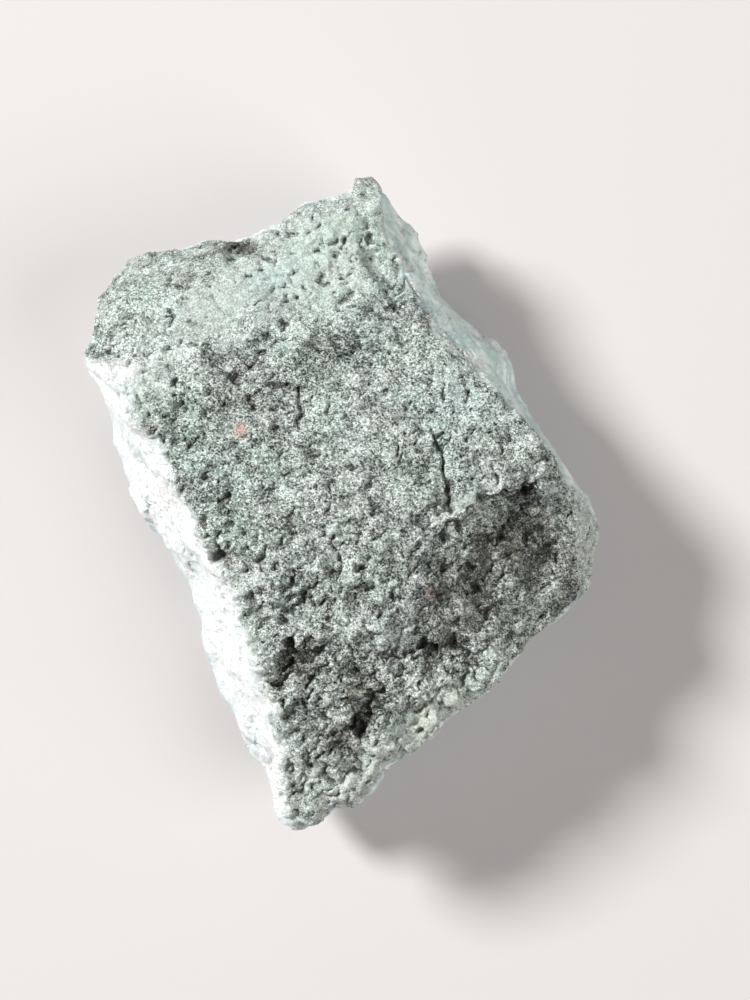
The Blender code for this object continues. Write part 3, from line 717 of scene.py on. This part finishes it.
def new_group(name, inputs, outputs):
    """An empty node group. inputs maps a name to (socket kind, value), and every output is a plain number."""
    group = bpy.data.node_groups.new(name, "ShaderNodeTree")
    for label, (kind, value) in inputs.items():
        socket = group.interface.new_socket(label, in_out="INPUT", socket_type=kind)
        if value is not None:
            socket.default_value = value
    for label in outputs:
        group.interface.new_socket(label, in_out="OUTPUT", socket_type="NodeSocketFloat")
    return group, group.nodes.new("NodeGroupInput").outputs, group.nodes.new("NodeGroupOutput").inputs


def placed(tree, group, place, **values):
    """Puts a node group into a tree and returns its outputs."""
    return node(tree, "ShaderNodeGroup", {"Place": place, **values}, node_tree=group).outputs


# ----------------------------------------------------------------------------------------------------------
# The stone's material

# Colours of the matrix, and the painted shade in its cavities
DARK_GROUND, LIGHT_GROUND = (0.060, 0.068, 0.057), (0.565, 0.637, 0.59)
GREEN_TINT, BLUE_TINT, BROWN_TINT = (0.86, 1.0, 0.88), (0.89, 0.99, 1.0), (1.0, 0.90, 0.80)
DARK_GRAIN, DULL_GRAIN, BRIGHT_GRAIN = (0.014, 0.019, 0.015), (0.46, 0.48, 0.45), (0.90, 0.96, 0.93)
PAINTED_CAVITY_SHADE, ROSY, DUST = (0.025, 0.024, 0.020), (0.62, 0.36, 0.31), (0.62, 0.66, 0.64)
# Colours of the pectolite, and the painted shade in its gaps
LEFT_SKY, SKY, LOW_SKY = (0.69, 0.76, 0.76), (0.51, 0.69, 0.72), (0.17, 0.43, 0.54)
WHITE, LOW_WHITE = (0.79, 0.80, 0.78), (0.60, 0.71, 0.73)
GLASS, CLOUDY_GLASS = (0.44, 0.59, 0.53), (0.80, 0.89, 0.84)
WEB, MARK, SPECK, PAINTED_CRACK_SHADE = (0.78, 0.80, 0.79), (0.34, 0.40, 0.39), (0.30, 0.33, 0.30), (0.22, 0.24, 0.21)

GRAIN = 0.14  # size of the mineral grains
GRAIN_MIDDLE = 0.85  # the height at which they are neither proud nor sunk
STREAK_TURN, STREAK_SCALE = (0, 0, -0.61), (0.35, 1.6, 1.6)  # drawn out along the bedding
FIBRE_TURN, FIBRE_SCALE = (0.15, 0.2, 0.4), (1.0, 1.0, 0.16)  # drawn out along the fibres
BUMP = 0.22  # how high the grains stand
SPECULAR = 0.35
MATT, SATIN = 0.86, 0.42  # roughness of the matrix and of the pectolite


def grains_group():
    """Salt and pepper: light and dark mineral grains, and the height that they stand to."""
    inputs = {"Place": ("NodeSocketVector", None), "Size": ("NodeSocketFloat", 0.3)}
    group, given, out = new_group("mineral grains", inputs, ("Light", "Dark", "Height"))
    place = given["Place"]
    per_mm = maths(group, "DIVIDE", 1.0, given["Size"])
    cells = cells_at(group, bent(group, place, per_mm, 1.0, 0.22), per_mm, "Color")
    grain = node(group, "ShaderNodeSeparateColor", {"Color": cells}).outputs[0]
    fine = noise_at(group, place, product(group, per_mm, 1.1), roughness=0.6)
    clump = noise_at(group, place, product(group, per_mm, 0.3), roughness=0.6)
    cells_and_fine = total(group, product(group, grain, 0.60), product(group, fine, 0.75))
    height = total(group, cells_and_fine, product(group, clump, 0.35))
    put(group, out["Light"], ramp(group, height, 0.87, 1.04))
    put(group, out["Dark"], ramp(group, height, 0.83, 0.64))
    put(group, out["Height"], height)
    return group


def pectolite_group():
    """Pectolite: clouds, a web of thin veins, and marks and threads drawn out along its upright fibres."""
    inputs = {"Place": ("NodeSocketVector", None)}
    group, given, out = new_group("pectolite", inputs, ("Cloud", "Web", "Mark", "Height"))
    place = given["Place"]
    fibres = turned(group, place, FIBRE_TURN, FIBRE_SCALE)
    cloud = noise_at(group, place, 0.22, detail=5.0, roughness=0.62, distortion=0.8)
    thread = noise_at(group, fibres, 2.6, detail=3.0, roughness=0.7)
    patch = noise_at(group, place, 0.35)
    to_vein = cells_at(group, bent(group, place, 0.5, 3.0, 3.2), 0.26, "Distance", feature="DISTANCE_TO_EDGE")
    broken = cells_at(group, fibres, 1.1, "Distance")
    put(group, out["Cloud"], ramp(group, cloud, 0.37, 0.66))
    put(group, out["Web"], ramp(group, to_vein, 0.10, 0.0))
    put(group, out["Mark"], product(group, ramp(group, thread, 0.60, 0.70), ramp(group, patch, 0.54, 0.66)))
    put(group, out["Height"], total(group, thread, product(group, broken, 0.9)))
    return group


def matrix_colour(tree, place, hollow_shade, grains):
    """A grey-green ground lightened and darkened by tone patches, some of them painted light and shade, and
    by blotches, painted light on crests and painted shade in dips; casts of green, blue and brown, then
    grains, painted shade in cavities and rosy spots.
    """
    tone = attribute(tree, "tone")
    cast = attribute(tree, "cast")
    along = node(tree, "ShaderNodeSeparateXYZ", {"Vector": place}).outputs["Y"]
    blotch = noise_at(tree, place, 0.45, detail=4.0, roughness=0.7)
    patch = noise_at(tree, place, 0.75, detail=3.0, roughness=0.65, distortion=0.6)
    bedded = turned(tree, place, STREAK_TURN, STREAK_SCALE)
    streak = noise_at(tree, bedded, 1.3, detail=3.0, roughness=0.7)
    drift = noise_at(tree, place, 0.16, detail=3.0)

    lightness = total(
        tree, tone, swing(tree, blotch, 0.5, 2.2), swing(tree, patch, 0.5, 1.2),
        # painted light on crests and painted shade in dips
        swing(tree, attribute(tree, "painted_relief_light"), 0.5, 0.5), swing(tree, streak, 0.5, 1.4),
        swing(tree, blotch, 0.5, ramp(tree, tone, -0.3, -0.9, 0.0, 2.2)),
    )
    colour = blend(tree, ramp(tree, lightness, -1.04, 0.94), DARK_GROUND, LIGHT_GROUND)
    green = maths(tree, "ADD", attribute(tree, "green"), ramp(tree, drift, 0.50, 0.64, 0.0, 0.5), clamp=True)
    colour = tinted(tree, green, colour, GREEN_TINT)
    blue = maths(tree, "ADD", cast, ramp(tree, drift, 0.46, 0.34), clamp=True)
    colour = tinted(tree, blue, colour, BLUE_TINT)
    brown = maths(tree, "SUBTRACT", ramp(tree, tone, -0.05, -0.5, 0.0, 0.6), cast, clamp=True)
    colour = tinted(tree, brown, colour, BROWN_TINT)

    # The grains stand out less in strong patches of tone, painted light or painted shade, and at both ends of
    # the stone
    contrast = ramp(tree, maths(tree, "ABSOLUTE", tone), 0.25, 0.9, 1.0, 0.60)
    contrast = product(tree, contrast, ramp(tree, along, 14.0, 25.0, 1.0, 0.70))
    contrast = product(tree, contrast, ramp(tree, along, -20.0, -27.0, 1.0, 0.75))
    dark = product(tree, grains["Dark"], ramp(tree, lightness, -0.5, 0.8, 0.95, 0.60))
    dark = product(tree, dark, ramp(tree, ramp(tree, patch, 0.50, 0.66), 0.0, 1.0, 1.0, 0.35))
    colour = blend(tree, product(tree, dark, contrast), colour, DARK_GRAIN)
    light = product(tree, grains["Light"], ramp(tree, patch, 0.36, 0.52, 0.45, 0.90))
    light_grain = blend(tree, ramp(tree, lightness, -0.9, 0.6), DULL_GRAIN, BRIGHT_GRAIN)
    colour = blend(tree, product(tree, light, contrast), colour, light_grain)

    # Painted shade in cavities and dips, less where a grain stands proud
    shade = maths(tree, "SUBTRACT", hollow_shade, swing(tree, grains["Height"], GRAIN_MIDDLE, 0.8))
    colour = blend(tree, ramp(tree, shade, 0.25, 0.95, 0.0, 0.65), colour, PAINTED_CAVITY_SHADE)
    rosy = product(tree, attribute(tree, "rosy"), ramp(tree, grains["Height"], 0.75, 0.95, 0.25, 0.9))
    return blend(tree, rosy, colour, ROSY)


def pectolite_colour(tree, place, hollow_shade, threads):
    """White on the left wall, pale blue on the others and bluer towards the ground, webbed with white, with
    painted shade in its gaps and cracks.
    """
    up = node(tree, "ShaderNodeSeparateXYZ", {"Vector": place}).outputs["Z"]
    low = ramp(tree, up, 8.5, 0.5)
    across = node(tree, "ShaderNodeVectorMath", {0: place, 1: ACROSS}, operation="DOT_PRODUCT")
    across = across.outputs["Value"]
    sky = blend(tree, ramp(tree, across, LEFT_WALL, LEFT_WALL + 6.5), LEFT_SKY, SKY)
    sky = blend(tree, low, sky, LOW_SKY)
    colour = blend(tree, threads["Cloud"], sky, blend(tree, low, WHITE, LOW_WHITE))
    glass = blend(tree, threads["Cloud"], GLASS, CLOUDY_GLASS)
    colour = blend(tree, product(tree, attribute(tree, "glassy"), 0.85), colour, glass)
    colour = blend(tree, product(tree, threads["Web"], ramp(tree, low, 0.0, 1.0, 0.25, 0.75)), colour, WEB)
    colour = blend(tree, product(tree, threads["Mark"], 0.28), colour, MARK)
    speck = ramp(tree, noise_at(tree, place, 1.6, detail=4.0, roughness=0.8), 0.67, 0.75, 0.0, 0.4)
    colour = blend(tree, speck, colour, SPECK)
    # Painted shade in the gaps and cracks of the bare pectolite
    return blend(tree, ramp(tree, hollow_shade, 0.15, 0.9, 0.0, 0.50), colour, PAINTED_CRACK_SHADE)


def stone_material():
    """Matrix and pectolite in one material, mixed by the stone's own masks."""
    material = bpy.data.materials.new("larimar_in_matrix")
    material.use_nodes = True
    tree = material.node_tree
    surface = tree.nodes["Principled BSDF"].inputs
    metres = node(tree, "ShaderNodeTexCoord").outputs["Object"]
    place = turned(tree, metres, (0, 0, 0), (1 / MM, 1 / MM, 1 / MM))
    grains = placed(tree, grains_group(), place, Size=GRAIN)
    threads = placed(tree, pectolite_group(), place)
    hollow_shade = attribute(tree, "hollow_shade")

    # The two meet grain by grain
    matrix = attribute(tree, "matrix")
    ragged = swing(tree, noise_at(tree, place, 0.9, detail=4.0, roughness=0.7), 0.5, 2.4)
    speckle = maths(tree, "ADD", swing(tree, grains["Height"], GRAIN_MIDDLE, 1.8), ragged)
    speckled = maths(tree, "ADD", matrix, product(tree, speckle, ramp(tree, matrix, 1.0, 0.85)))
    share = ramp(tree, speckled, 0.46, 0.56)
    # White dust lies on the matrix beside the pectolite
    dust = ramp(tree, speckled, 0.98, 0.62, 0.0, 0.7)

    dusty = blend(tree, dust, matrix_colour(tree, place, hollow_shade, grains), DUST)
    bare = pectolite_colour(tree, place, hollow_shade, threads)
    put(tree, surface["Base Color"], blend(tree, share, bare, dusty))
    put(tree, surface["Roughness"], ramp(tree, share, 0.2, 0.8, SATIN, MATT))
    height = blend(tree, share, product(tree, threads["Height"], 0.45), grains["Height"])
    bump = node(tree, "ShaderNodeBump", {"Height": height, "Strength": 1.0, "Distance": BUMP * MM})
    put(tree, surface["Normal"], bump.outputs["Normal"])
    surface["Specular IOR Level"].default_value = SPECULAR
    return material


def dress_stone():
    bm = fine_copy(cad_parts["larimar_stone"])
    carve(bm)
    triangles = sum(len(face.verts) - 2 for face in bm.faces)
    bm = after_modifier(bm, "DECIMATE", ratio=TRIANGLES / triangles)
    unfold(bm)
    keep_above_ground(bm)
    bmesh.ops.scale(bm, vec=(MM, MM, MM), verts=bm.verts)
    mesh = bpy.data.meshes.new("weathered_stone")
    bm.to_mesh(mesh)
    bm.free()
    mesh.shade_smooth()
    mesh.materials.append(stone_material())
    stone = bpy.data.objects.new("weathered_stone", mesh)
    bpy.context.scene.collection.objects.link(stone)
    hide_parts("larimar_stone")
    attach(stone, "root")


# ----------------------------------------------------------------------------------------------------------
# The studio, in metres

FRAME = (750, 1000)
CAMERA_HEIGHT = 0.280
PIXELS_PER_RADIAN = 2620
STONE_AT = (343, 503.5)  # where the stone's origin falls in the frame, in pixels
SENSOR = 36  # width of the camera's sensor in millimetres
NEAREST_SEEN = 0.01
FLOOR_HALF_WIDTH = 1.5
FLOOR_COLOUR, FLOOR_ROUGHNESS = (0.57, 0.54, 0.53, 1), 0.9
MIDDLE = (0, 0, 0.01)  # what the lamps point at
# Lamps: name, place, width, watts
LAMPS = [("key", (-0.86, 0.49, 0.72), 0.30, 24.5), ("fill", (0.50, -0.20, 0.50), 0.60, 3.2)]
ROOM_COLOUR, ROOM_STRENGTH = (1.0, 0.98, 0.97, 1), 0.20


def add_floor():
    bm = bmesh.new()
    bmesh.ops.create_grid(bm, x_segments=1, y_segments=1, size=FLOOR_HALF_WIDTH)
    mesh = bpy.data.meshes.new("floor")
    bm.to_mesh(mesh)
    bm.free()
    material = bpy.data.materials.new("pale_floor")
    material.use_nodes = True
    surface = material.node_tree.nodes["Principled BSDF"]
    surface.inputs["Base Color"].default_value = FLOOR_COLOUR
    surface.inputs["Roughness"].default_value = FLOOR_ROUGHNESS
    mesh.materials.append(material)
    floor = bpy.data.objects.new("floor", mesh)
    bpy.context.scene.collection.objects.link(floor)


def add_lamp(name, place, width, watts):
    light = bpy.data.lights.new(name, "AREA")
    light.shape = "DISK"
    light.size = width
    light.energy = watts
    lamp = bpy.data.objects.new(name, light)
    lamp.location = place
    lamp.rotation_euler = (Vector(MIDDLE) - Vector(place)).to_track_quat("-Z", "Y").to_euler()
    bpy.context.scene.collection.objects.link(lamp)


def add_room():
    world = bpy.data.worlds.new("soft room")
    world.use_nodes = True
    background = world.node_tree.nodes["Background"]
    background.inputs["Color"].default_value = ROOM_COLOUR
    background.inputs["Strength"].default_value = ROOM_STRENGTH
    bpy.context.scene.world = world
    bpy.context.scene.view_settings.view_transform = "Standard"


def add_camera():
    """Straight above the stone, with the frame moved sideways to where the stone lies in it."""
    camera = bpy.data.cameras.new("camera")
    camera.sensor_width = SENSOR
    camera.lens = PIXELS_PER_RADIAN / FRAME[1] * SENSOR
    camera.shift_x = (FRAME[0] / 2 - STONE_AT[0]) / FRAME[1]
    camera.shift_y = (STONE_AT[1] - FRAME[1] / 2) / FRAME[1]
    camera.clip_start = NEAREST_SEEN
    eye = bpy.data.objects.new("camera", camera)
    eye.location = (0, 0, CAMERA_HEIGHT)
    bpy.context.scene.collection.objects.link(eye)
    bpy.context.scene.camera = eye


dress_stone()
add_floor()
for lamp in LAMPS:
    add_lamp(*lamp)
add_room()
add_camera()
